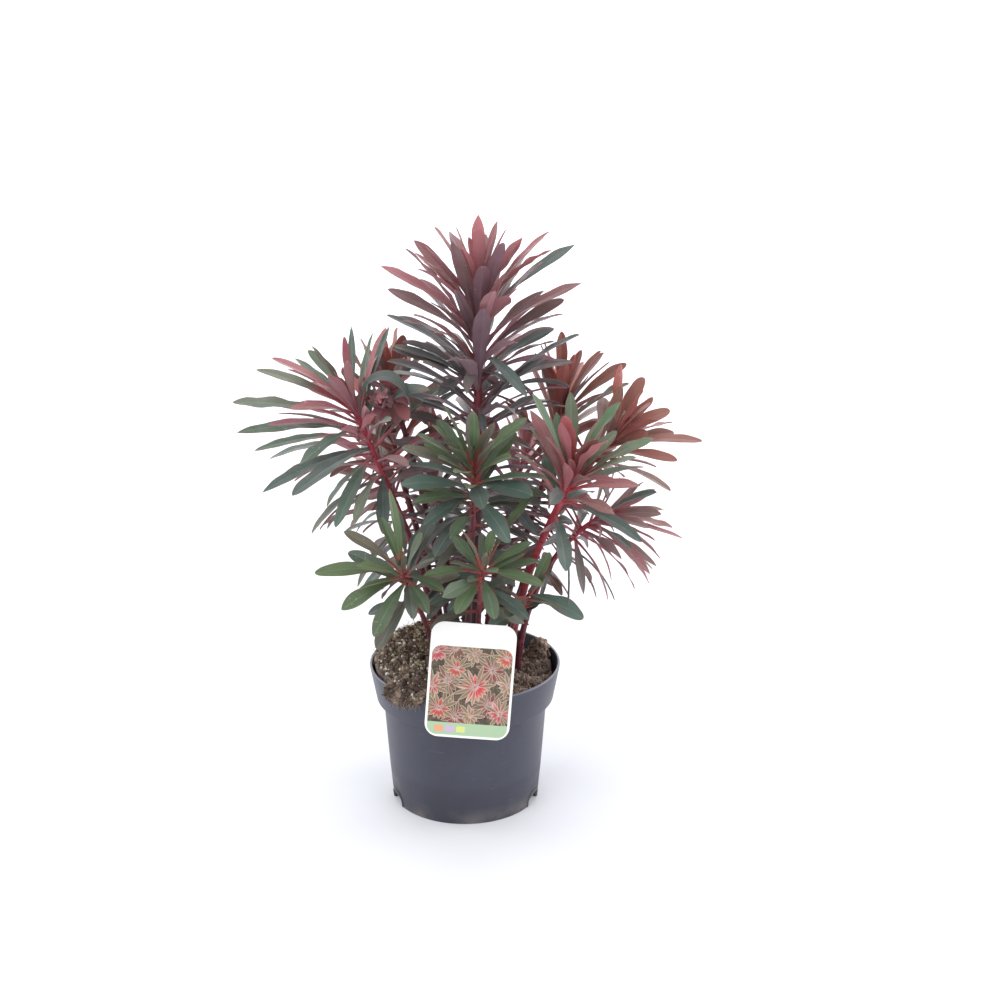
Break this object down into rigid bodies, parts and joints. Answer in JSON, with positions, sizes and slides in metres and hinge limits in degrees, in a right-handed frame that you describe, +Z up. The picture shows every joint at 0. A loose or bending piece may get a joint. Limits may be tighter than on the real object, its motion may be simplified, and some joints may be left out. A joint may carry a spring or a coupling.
{
  "type": "potted euphorbia",
  "caption": "Potted euphorbia: spiralled leafy shoots rising from bare stems out of a peat root ball in a thin nursery pot, with a printed plant label hooked over the rim.",
  "frame": {"origin": "the middle of the pot's underside, where it rests", "axes": "+Z up, along the pot's axis; -Y towards the side where the label hangs; +X to the right as seen from there"},
  "size_m": [0.4455, 0.3329, 0.59],
  "materials": {
    "pot": "satin, dark slate grey thin-wall plastic",
    "peat": "dry brown peat with fibres and pale granules",
    "label": "printed white plastic card",
    "mauve_leaf": "dull leaf, dusty mauve with a red base",
    "grey_green_leaf": "dull waxy leaf, grey-green",
    "crimson_leaf": "dull leaf, pink-red",
    "russet_leaf": "dull leaf, orange-brown red",
    "green_leaf": "dull waxy leaf, deep green with a pale midrib"
  },
  "bodies": {
    "root": {"pot": "pot", "soil": "peat", "label": "label", "shoot_tall": "mauve_leaf", "shoot_left": "grey_green_leaf", "shoot_nodding": "crimson_leaf", "shoot_back_left": "russet_leaf", "shoot_front_middle": "green_leaf", "shoot_right": "crimson_leaf", "shoot_back_right": "russet_leaf", "shoot_far_right": "russet_leaf", "shoot_low_right": "mauve_leaf", "shoot_low_left": "green_leaf", "shoot_low_middle": "green_leaf", "shoot_inner": "mauve_leaf", "shoot_skirt": "green_leaf", "shoot_rear_left": "grey_green_leaf", "shoot_rear_right": "grey_green_leaf", "shoot_rear_low": "green_leaf"}
  },
  "joints": []
}
